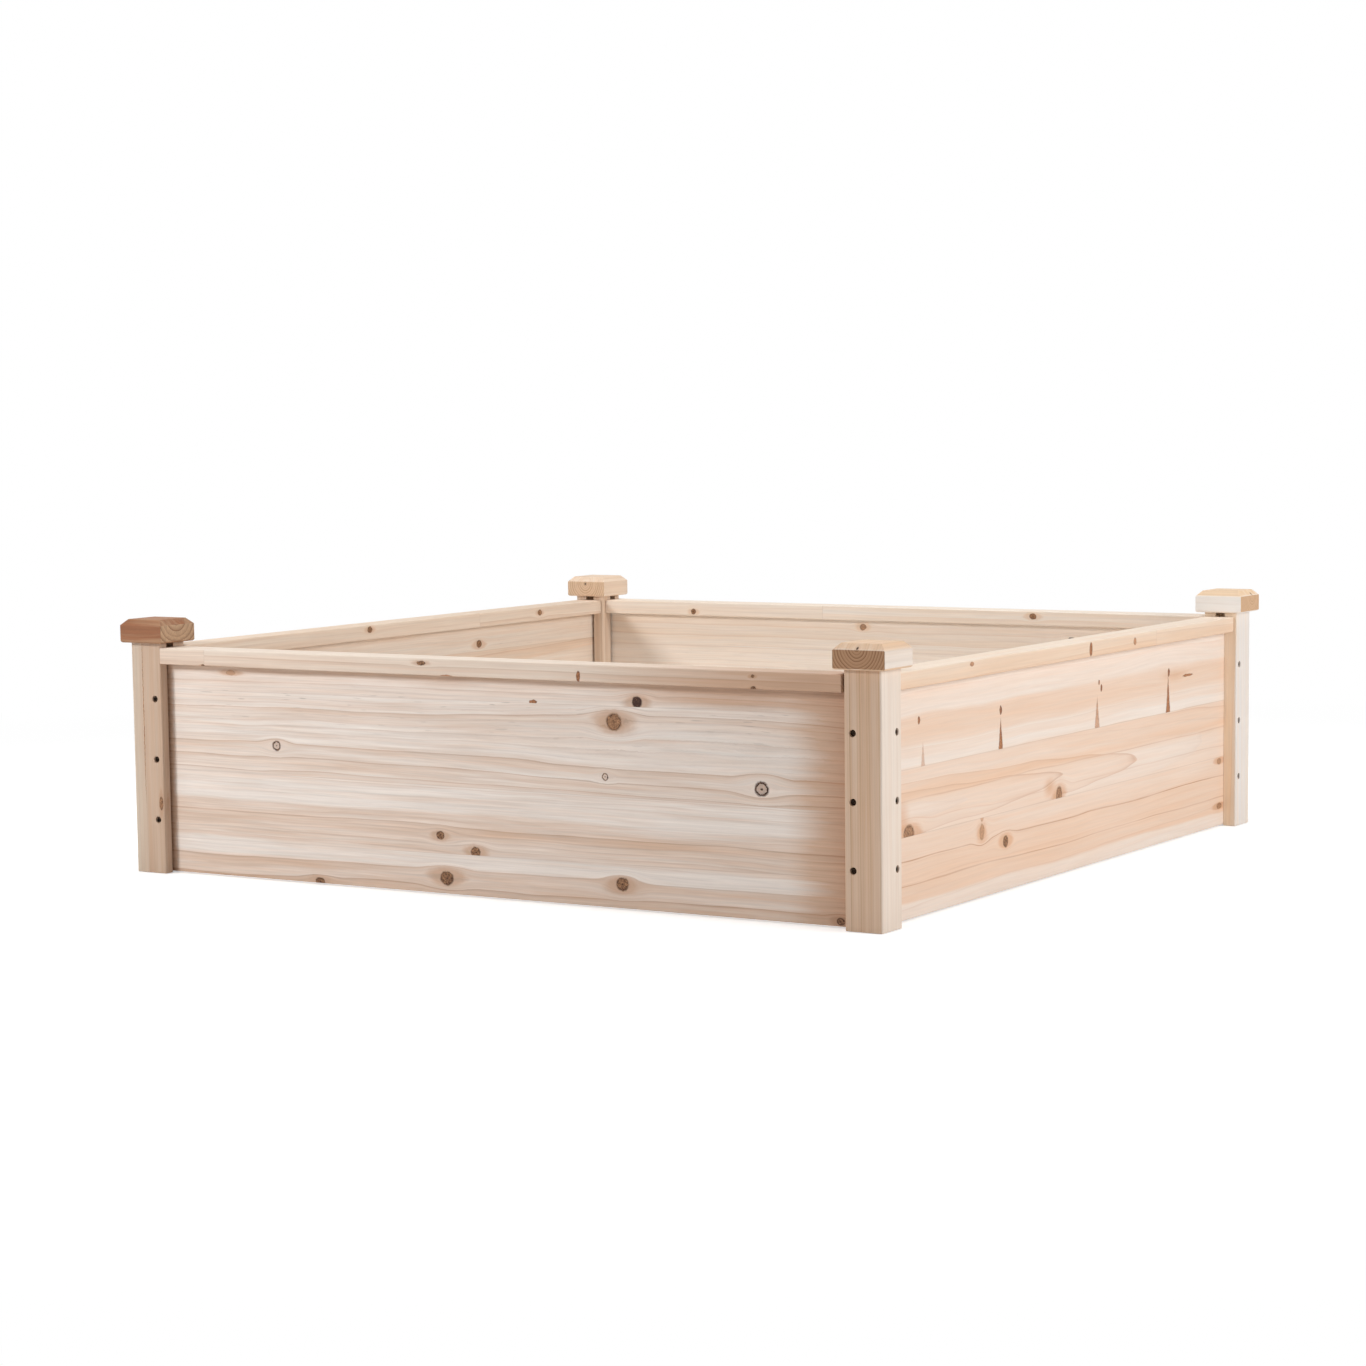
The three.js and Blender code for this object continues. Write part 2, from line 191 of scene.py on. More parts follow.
def fir(name, turned, middle, boards, bands, colours, cuts=(), veins=(), wander=2.0,
        streaky=0.3):
    """Planed fir, figured through and through like the tree.

    turned and middle: how the piece was turned from lying along X, in degrees, and its centre, in m.
    From here on all is in mm in the lying piece: x along the grain, z across it, y into the face.
    boards: the boards that the piece is glued from, each with its pith's y and z, the pith's slope
    along the board, the width of a year ring, how much the years differ, and its knots. A knot is
    its x and z, its half lengths along and across the grain, its darkness, and its kind.
    cuts: the planes between the boards, as a normal and a distance.
    bands: heights, and there how far the wood goes from sapwood, 0, to heartwood, 1, how strong the
    late wood's lines are, and how many resin flecks it has. veins: single dark lines, each with its
    height and its strength.
    colours: of sapwood, heartwood, late wood, and the early wood on a sawn end.
    wander: how far the grain strays from straight. streaky: how much the wood differs within a year.
    """
    material, tree = new_material(name)
    sapwood, heartwood, late_wood, end_grain = (hex_colour(code) for code in colours)
    turn = Euler([math.radians(angle) for angle in turned])
    coordinates = add(tree, "TexCoord")
    place = add(tree, "Mapping", coordinates.outputs["Object"], middle, turn, (0.001, 0.001, 0.001),
                vector_type="TEXTURE")

    # Which board a point is in: each cut that it lies beyond adds the step to the next board. The
    # boards lie 3 m apart along the grain, so that no two have the same figure.
    origins = [Vector((3000 * index, board["pith"][0] - 3000 * index * board["slope"], board["pith"][1]))
               for index, board in enumerate(boards)]
    figures = [Vector((board["slope"], board["ring"], board["years"])) for board in boards]
    origin, figure, seam = origins[0], figures[0], 1000.0
    for index, (normal, distance) in enumerate(cuts):
        side = add(tree, "VectorMath", place, normal, operation="DOT_PRODUCT")
        gap = add(tree, "Math", side, distance, operation="SUBTRACT")
        beyond = add(tree, "Math", gap, 0.0, operation="GREATER_THAN")
        origin = add(tree, "VectorMath", beyond, origins[index + 1] - origins[index], origin,
                     operation="MULTIPLY_ADD")
        figure = add(tree, "VectorMath", beyond, figures[index + 1] - figures[index], figure,
                     operation="MULTIPLY_ADD")
        seam = add(tree, "Math", add(tree, "Math", gap, operation="ABSOLUTE"), seam, operation="MINIMUM")
    inside = add(tree, "VectorMath", place, origin, operation="SUBTRACT")
    figure = add(tree, "SeparateXYZ", figure)
    slope, ring, years_differ = (figure.outputs[axis] for axis in "XYZ")

    # The grain wanders a few millimetres along its length.
    stretched = add(tree, "VectorMath", inside, (1 / 190, 1 / 30, 1 / 30), operation="MULTIPLY")
    strays = add(tree, "TexNoise", stretched, sockets={"Scale": 1.0, "Detail": 2.0, "Roughness": 0.45})
    flow = add(tree, "VectorMath", strays.outputs["Color"], (0, 2 * wander, 2 * wander), inside,
               operation="MULTIPLY_ADD")
    flow = add(tree, "VectorMath", flow, (0, wander, wander), operation="SUBTRACT")

    # Knots push the grain round themselves, and a swell, a knot under the surface, does only that.
    # Of the nearest one, kept are the distance, 1 at its rim, the same distance stretched along the
    # grain, its darkness, and whether it is a ring, or a thin one, a dot or a spike. A stain only
    # darkens the wood, and fades out to its rim; the same kind also carries painted shade beside the
    # posts and under the rail.
    rough = add(tree, "TexNoise", inside, sockets={"Scale": 0.22, "Detail": 2.0})
    rough = add(tree, "VectorMath", rough.outputs["Color"], (2.4, 0, 2.4), inside, operation="MULTIPLY_ADD")
    rough = add(tree, "VectorMath", rough, (1.2, 0, 1.2), operation="SUBTRACT")
    nearest, lens, look, stain_and_shade = 9.0, 9.0, (0, 0, 0), 0.0
    for board, start in zip(boards, origins):
        for x, z, along, across, darkness, kind in board["knots"]:
            reach = Vector((1 / along, 0, 1 / across))
            shifted = -(Vector((x, 0, z)) - start) * reach
            offset = add(tree, "VectorMath", rough, reach, shifted, operation="MULTIPLY_ADD")
            if kind == "spike":
                sides = add(tree, "VectorMath", offset, operation="ABSOLUTE")
                radius = add(tree, "VectorMath", sides, (1, 1, 1), operation="DOT_PRODUCT")
            else:
                radius = add(tree, "VectorMath", offset, operation="LENGTH")
            if kind == "stain_and_shade":
                fading = add(tree, "MapRange", radius, 0.0, 1.0, darkness, 0.0,
                             interpolation_type="SMOOTHSTEP")
                stain_and_shade = add(tree, "Math", fading, stain_and_shade, operation="ADD")
                continue
            if kind in ("disc", "ring", "swell"):
                eye = add(tree, "VectorMath", offset, (0.5, 0, 1), operation="MULTIPLY")
                eye = add(tree, "VectorMath", eye, operation="LENGTH")
                strength = darkness if kind == "swell" else 0.85
                push = add(tree, "MapRange", eye, 0.3, 2.8, -strength * across, 0.0,
                           interpolation_type="SMOOTHSTEP")
                moved = add(tree, "VectorMath", offset, (0, 0, 1), operation="MULTIPLY")
                flow = add(tree, "VectorMath", moved, push, flow, operation="MULTIPLY_ADD")
            if kind == "swell":
                continue
            if kind == "disc":
                lens = add(tree, "Math", eye, lens, operation="MINIMUM")
            nearer = add(tree, "Math", radius, nearest, operation="LESS_THAN")
            this_look = (darkness, kind == "ring", kind in ("dot", "spike"))
            look = add(tree, "Mix", sockets={0: nearer, 4: look, 5: this_look}, data_type="VECTOR")
            nearest = add(tree, "Math", radius, nearest, operation="MINIMUM")

    # Year rings: the distance from the pith, which nears or leaves the face along the board. Each
    # year ends in a thin line of late wood, sharp on its outer side, and some years stand out.
    axes = add(tree, "SeparateXYZ", flow)
    depth = add(tree, "Math", axes.outputs["X"], slope, axes.outputs["Y"], operation="MULTIPLY_ADD")
    from_pith = add(tree, "VectorMath", add(tree, "CombineXYZ", 0.0, depth, axes.outputs["Z"]),
                    operation="LENGTH")
    years = add(tree, "Math", from_pith, ring, operation="DIVIDE")
    year = add(tree, "Math", years, operation="FLOOR")
    season = add(tree, "Math", years, operation="FRACT")
    chance = add(tree, "TexWhiteNoise", sockets={"W": year}, noise_dimensions="1D").outputs["Value"]
    to_edge = add(tree, "Math", 1.0, season, operation="SUBTRACT")
    to_edge = add(tree, "Math", to_edge, ring, operation="MULTIPLY")
    late = ramp(tree, add(tree, "Math", to_edge, 1 / 8, operation="MULTIPLY"),
                [(0, 0.6), (0.03, 1), (0.08, 0.5), (0.17, 0.16), (0.5, 0)])

    # Bands of sapwood and heartwood that follow the grain, each year a little different, the warmer
    # wood round a knot, and the stains, some of which are painted shade.
    height = add(tree, "SeparateXYZ", add(tree, "VectorMath", flow, origin, operation="ADD")).outputs["Z"]
    low, high = bands[0][0], bands[-1][0]
    share = add(tree, "MapRange", height, float(low), float(high), 0.0, 1.0)
    band = add(tree, "SeparateColor", ramp(tree, share, [
        ((at - low) / (high - low), (tone, lines, flecks, 1)) for at, tone, lines, flecks in bands]))
    tone, lines, flecks = band.outputs
    broad = add(tree, "VectorMath", flow, (1 / 210, 1 / 7, 1 / 7), operation="MULTIPLY")
    streaks = add(tree, "TexNoise", broad, sockets={"Scale": 1.0, "Detail": 4.0, "Roughness": 0.6})
    streak = add(tree, "MapRange", streaks.outputs["Fac"], 0.3, 0.7, -1.0, 1.0)
    tone = add(tree, "Math", streak, streaky, tone, operation="MULTIPLY_ADD")
    differs = add(tree, "Math", chance, 0.5, operation="SUBTRACT")
    tone = add(tree, "Math", differs, years_differ, tone, operation="MULTIPLY_ADD")
    darkness, is_ring, is_thin = add(tree, "SeparateXYZ", look).outputs
    around = add(tree, "Math", streak, 0.5, lens, operation="MULTIPLY_ADD")
    halo = add(tree, "MapRange", around, 0.8, 1.65, 0.6, 0.0, interpolation_type="SMOOTHSTEP")
    halo_stain_and_shade = add(tree, "Math", halo, stain_and_shade, operation="ADD")
    tone = add(tree, "Math", halo_stain_and_shade, 0.8, tone, operation="MULTIPLY_ADD", use_clamp=True)

    # The lines of late wood, thin on a face. On a sawn end the years show as broad, dark arcs.
    facing = add(tree, "VectorMath", coordinates.outputs["Normal"], turn.to_matrix() @ Vector((1, 0, 0)),
                 operation="DOT_PRODUCT")
    sawn = add(tree, "MapRange", add(tree, "Math", facing, operation="ABSOLUTE"), 0.72, 0.9, 0.0, 1.0)
    strong = add(tree, "Math", add(tree, "Math", chance, 1.8, operation="POWER"), 0.8, 0.2,
                 operation="MULTIPLY_ADD")
    line = add(tree, "Math", strong, lines, operation="MULTIPLY")
    line = add(tree, "Math", late, line, operation="MULTIPLY")
    for at, strength in veins:
        off = add(tree, "Math", height, float(at), operation="SUBTRACT")
        off = add(tree, "Math", off, operation="ABSOLUTE")
        dark = add(tree, "Math", add(tree, "MapRange", off, 0.2, 1.1, strength, 0.0),
                   add(tree, "MapRange", streak, -1.0, 0.6, 0.2, 1.0), operation="MULTIPLY")
        line = add(tree, "Math", dark, line, operation="MAXIMUM")
    arc = add(tree, "Math", add(tree, "Math", season, 2.5, operation="POWER"),
              add(tree, "Math", chance, 0.6, 0.4, operation="MULTIPLY_ADD"), operation="MULTIPLY")
    line = add(tree, "Mix", sockets={0: sawn, 2: line, 3: arc}, data_type="FLOAT")
    line = add(tree, "Math", halo_stain_and_shade, 0.4, line, operation="MULTIPLY_ADD", use_clamp=True)
    colour = add(tree, "Mix", sockets={0: tone, 6: sapwood, 7: heartwood}, data_type="RGBA")
    colour = add(tree, "Mix", sockets={0: sawn, 6: colour, 7: end_grain}, data_type="RGBA")
    colour = add(tree, "Mix", sockets={0: line, 6: colour, 7: late_wood}, data_type="RGBA")

    # Fibres, and the short dark flecks of resin between them.
    fine = add(tree, "VectorMath", flow, (1 / 130, 1 / 2.6, 1 / 2.6), operation="MULTIPLY")
    fibres = add(tree, "TexNoise", fine, sockets={"Scale": 1.0, "Detail": 4.0, "Roughness": 0.65})
    shade = add(tree, "MapRange", fibres.outputs["Fac"], 0.3, 0.7, 1 - 0.45 * streaky, 1 + 0.2 * streaky)
    colour = add(tree, "Mix", sockets={0: 1.0, 6: colour, 7: shade}, data_type="RGBA", blend_type="MULTIPLY")
    short = add(tree, "VectorMath", flow, (1 / 22, 1 / 1.5, 1 / 1.5), operation="MULTIPLY")
    fleck = add(tree, "TexNoise", short, sockets={"Scale": 1.0, "Detail": 0.0})
    fleck = add(tree, "MapRange", fleck.outputs["Fac"], 0.74, 0.82, 0.0, 0.8)
    fleck = add(tree, "Math", fleck, flecks, operation="MULTIPLY")
    colour = add(tree, "Mix", sockets={0: fleck, 6: colour, 7: hex_colour("5f4534")}, data_type="RGBA")

    # A knot's own wood: a grainy brown disc with faint rings and a dark heart, or a dark ring round
    # paler wood where its bark has stayed. A dot or a spike was sawn lengthwise and is redder. The
    # tree's pith is a dark dot.
    mottle = add(tree, "TexNoise", inside, sockets={"Scale": 0.42, "Detail": 4.0, "Roughness": 0.85})
    mottle = add(tree, "MapRange", mottle.outputs["Fac"], 0.36, 0.64, -1.0, 1.0)
    quarter = add(tree, "Math", add(tree, "Math", mottle, 0.07, nearest, operation="MULTIPLY_ADD"), 0.25,
                  operation="MULTIPLY")
    disc = ramp(tree, quarter, [(0, 1), (0.03, 0.9), (0.06, 0.3), (0.09, 0.6), (0.12, 0.25), (0.15, 0.55),
                                (0.18, 0.4), (0.22, 1), (0.26, 0.6)])
    bark = ramp(tree, quarter, [(0, 1), (0.03, 1), (0.055, 0), (0.15, 0), (0.185, 1)])
    pattern = add(tree, "Mix", sockets={0: is_ring, 2: disc, 3: bark}, data_type="FLOAT")
    browning = add(tree, "Math", mottle, 0.7, pattern, operation="MULTIPLY_ADD")
    browning = add(tree, "Math", browning, 0.6, darkness, operation="MULTIPLY_ADD", use_clamp=True)
    knot_wood = add(tree, "Mix", sockets={0: is_thin, 6: hex_colour("b88862"), 7: hex_colour("ca8c5e")},
                    data_type="RGBA")
    knot_dark = add(tree, "Mix", sockets={0: is_thin, 6: hex_colour("34170a"), 7: hex_colour("5c2c16")},
                    data_type="RGBA")
    knot_wood = add(tree, "Mix", sockets={0: browning, 6: knot_wood, 7: knot_dark}, data_type="RGBA")
    solid = add(tree, "Math", darkness, 1.2, operation="MULTIPLY")
    solid = add(tree, "Math", solid, bark, operation="MAXIMUM")
    faint = add(tree, "MapRange", darkness, -0.3, 0.1, 0.45, 1.0)
    solid = add(tree, "Mix", sockets={0: is_ring, 2: faint, 3: solid}, data_type="FLOAT")
    cover = ramp(tree, quarter, [(0, 1), (0.22, 1), (0.28, 0)])
    cover = add(tree, "Math", cover, solid, operation="MULTIPLY")
    colour = add(tree, "Mix", sockets={0: cover, 6: colour, 7: knot_wood}, data_type="RGBA")
    heart = add(tree, "MapRange", from_pith, 0.8, 2.0, 0.95, 0.0)
    colour = add(tree, "Mix", sockets={0: heart, 6: colour, 7: hex_colour("3a1f12")}, data_type="RGBA")

    # A glue line is a hair wide.
    glue = add(tree, "MapRange", seam, 0.1, 0.7, 0.18, 0.0)
    colour = add(tree, "Mix", sockets={0: glue, 6: colour, 7: hex_colour("9a765c")}, data_type="RGBA")

    relief = add(tree, "Math", late, 0.35, fibres.outputs["Fac"], operation="MULTIPLY_ADD")
    bump = add(tree, "Bump", sockets={"Strength": 0.35, "Distance": 0.0004, "Height": relief})
    gloss = add(tree, "MapRange", fibres.outputs["Fac"], 0.3, 0.7, 0.55, 0.7)
    wood = add(tree, "BsdfPrincipled", sockets={
        "Base Color": colour, "Roughness": gloss, "Specular IOR Level": 0.3, "Normal": bump})
    add(tree, "OutputMaterial", wood)
    return material


def cut_away(piece, tool):
    """Cuts a bmesh out of a piece, and frees it."""
    tool_mesh = bpy.data.meshes.new("tool")
    tool.to_mesh(tool_mesh)
    tool.free()
    tool_object = bpy.data.objects.new("tool", tool_mesh)
    bpy.context.scene.collection.objects.link(tool_object)
    modifier = piece.modifiers.new("cut", "BOOLEAN")
    modifier.operation = "DIFFERENCE"
    modifier.solver = "EXACT"
    modifier.object = tool_object
    cut_mesh = bpy.data.meshes.new_from_object(piece.evaluated_get(bpy.context.evaluated_depsgraph_get()))
    piece.modifiers.clear()
    old_mesh = piece.data
    piece.data = cut_mesh
    cut_mesh.name = piece.name
    bpy.data.meshes.remove(old_mesh)
    bpy.data.objects.remove(tool_object)
    bpy.data.meshes.remove(tool_mesh)


def new_piece(name, shape):
    """Makes a bmesh an object in the scene, and frees it."""
    mesh = bpy.data.meshes.new(name)
    shape.to_mesh(mesh)
    shape.free()
    piece = bpy.data.objects.new(name, mesh)
    bpy.context.scene.collection.objects.link(piece)
    return piece


def finish(piece, material, slot, *nodes):
    """Smooth shading with crisp edges, the finish, and the piece's place in the frame."""
    piece.data.materials.clear()
    piece.data.materials.append(material)
    piece.data.shade_smooth()
    piece.data.set_sharp_from_angle(angle=math.radians(32))
    normals = piece.modifiers.new("even shading", "WEIGHTED_NORMAL")
    normals.keep_sharp = True
    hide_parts(*nodes)
    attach(piece, "root")


def block(shape, low, high):
    """Adds a box between two corners to a bmesh, and returns its vertices."""
    low, high = Vector(low), Vector(high)
    corners = bmesh.ops.create_cube(shape, size=1)["verts"]
    bmesh.ops.scale(shape, vec=[max(abs(side), 1e-6) for side in high - low], verts=corners)
    bmesh.ops.translate(shape, vec=(low + high) / 2, verts=corners)
    return corners


def turned_shape(profile, steps):
    """Turns a half section of radii and heights, from pole to pole, about the Z axis."""
    shape = bmesh.new()
    points = [shape.verts.new((radius, 0, height)) for radius, height in profile]
    edges = [shape.edges.new(pair) for pair in zip(points, points[1:])]
    bmesh.ops.spin(shape, geom=points + edges, axis=(0, 0, 1), cent=(0, 0, 0), angle=math.tau,
                   steps=steps, use_merge=True)
    bmesh.ops.remove_doubles(shape, verts=shape.verts, dist=1e-7)
    bmesh.ops.recalc_face_normals(shape, faces=shape.faces)
    return shape


def at_face(point, outward):
    """Brings a shape whose Z axis points out of the wood to a point on a face."""
    return Matrix.Translation(point) @ Vector(outward).to_track_quat("Z", "Y").to_matrix().to_4x4()


half_bed = 0.5
post_side = 0.044
arris = 0.002
saw_ease = 0.0005
past_the_post = 0.06
groove_depth = 0.015
groove_width = 0.0125
end_wall_setback = 0.0115
side_wall_setback = 0.0165
screw_inset = 0.034
screw_sink = 0.003
screw_heights = [0.0635, 0.135, 0.2065]
dowel_bore = 0.0043
post_bore_depth = 0.0243

mouth = turned_shape([(0, 0.002), (0.0042, 0.002), (0.0042, 0), (0.0038, -0.0005), (0.0038, -0.003),
                      (0.002, -0.003), (0.002, -0.0313), (0, -0.0313)], 24)
screw_hole = bpy.data.meshes.new("screw_hole")
mouth.to_mesh(screw_hole)
mouth.free()

post_wood = {
    "front_left": {
        "streaky": 0.2,
        "boards": [{"pith": (70, -85), "slope": 0.02, "ring": 4.2, "years": 0.15, "knots": [
            (-53, -17.5, 8, 3, 0.2, "disc"), (45, 5.5, 95, 0.5, 0.2, "dot")]}],
        "bands": [(-22, 0.75, 0.3, 0), (3, 0.7, 0.3, 0), (7, 0.35, 0.3, 0), (22, 0.2, 0.2, 0)],
        "colours": ["d2c2b0", "c4a288", "a57a5e", "c4a081"]},
    "front_right": {
        "streaky": 0.14,
        "boards": [{"pith": (20, -150), "slope": 0.01, "ring": 2.7, "years": 0.15, "knots": []}],
        "bands": [(-22, 0.1, 0.15, 0), (-20.8, 0.15, 0.2, 0), (-19.5, 0.75, 0.4, 0), (0, 0.9, 0.45, 0),
                  (12, 0.8, 0.6, 0), (22, 0.85, 0.6, 0)],
        "colours": ["efe0d2", "d4af8f", "976f4e", "c4a081"]},
    "back_right": {
        "streaky": 0.15,
        "boards": [{"pith": (60, 40), "slope": 0.02, "ring": 5, "years": 0.2, "knots": []}],
        "bands": [(-22, 0.1, 0.2, 0), (-19, 0.8, 0.3, 0), (22, 0.9, 0.3, 0)],
        "colours": ["ece4de", "ffe6c8", "e2b88e", "c8a888"]},
    "back_left": {
        "boards": [{"pith": (-50, 70), "slope": -0.02, "ring": 4.5, "years": 0.2, "knots": [
            (13, 6, 5, 4, 0.3, "disc")]}],
        "bands": [(-22, 0.5, 0.4, 0), (22, 0.3, 0.3, 0)],
        "colours": ["ecdccb", "e2bf9f", "bf9270", "c8a888"]},
}

for corner, wood in post_wood.items():
    node = "post_" + corner
    low, high = (Vector(end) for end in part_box(node))
    middle = (low + high) / 2
    out_x, out_y = math.copysign(1, middle.x), math.copysign(1, middle.y)
    bar = bmesh.new()
    block(bar, low, high)
    upright = [edge for edge in bar.edges if abs(edge.verts[0].co.z - edge.verts[1].co.z) > 0.1]
    bmesh.ops.bevel(bar, geom=upright, offset=arris, segments=4, profile=0.5, affect="EDGES", material=-1)
    rims = [edge for edge in bar.edges if abs(edge.verts[0].co.z - edge.verts[1].co.z) < 1e-6
            and len(edge.link_faces) == 2]
    bmesh.ops.bevel(bar, geom=rims, offset=saw_ease, segments=2, profile=0.5, affect="EDGES", material=-1)
    post = new_piece(node + "_grooved", bar)

    outer = Vector((out_x * half_bed, out_y * half_bed, 0))
    # The grooves for the end wall and the side wall, each between two corners of its plan, which
    # are given as distances from the post's outer corner.
    grooves = bmesh.new()
    for inner_end, outer_end in (((past_the_post, end_wall_setback + groove_width),
                                  (post_side - groove_depth, end_wall_setback)),
                                 ((side_wall_setback + groove_width, past_the_post),
                                  (side_wall_setback, post_side - groove_depth))):
        block(grooves, (outer.x - out_x * inner_end[0], outer.y - out_y * inner_end[1], low.z - 0.01),
              (outer.x - out_x * outer_end[0], outer.y - out_y * outer_end[1], high.z + 0.01))
    bmesh.ops.recalc_face_normals(grooves, faces=grooves.faces)
    cut_away(post, grooves)

    # The screw holes of the two outer faces, and the dowel's bore in the top.
    holes = bmesh.new()
    for height in screw_heights:
        for point, outward in (((outer.x - out_x * screw_inset, outer.y, height), (0, out_y, 0)),
                               ((outer.x, outer.y - out_y * screw_inset, height), (out_x, 0, 0))):
            hole = screw_hole.copy()
            hole.transform(at_face(point, outward))
            holes.from_mesh(hole)
            bpy.data.meshes.remove(hole)
    bmesh.ops.create_cone(holes, cap_ends=True, segments=24, radius1=dowel_bore, radius2=dowel_bore,
                          depth=2 * post_bore_depth, matrix=Matrix.Translation((middle.x, middle.y, high.z)))
    cut_away(post, holes)
    finish(post, fir("planed fir of the post, " + corner.replace("_", " "), (0, -90, 0), middle, **wood),
           "fir_post", node)
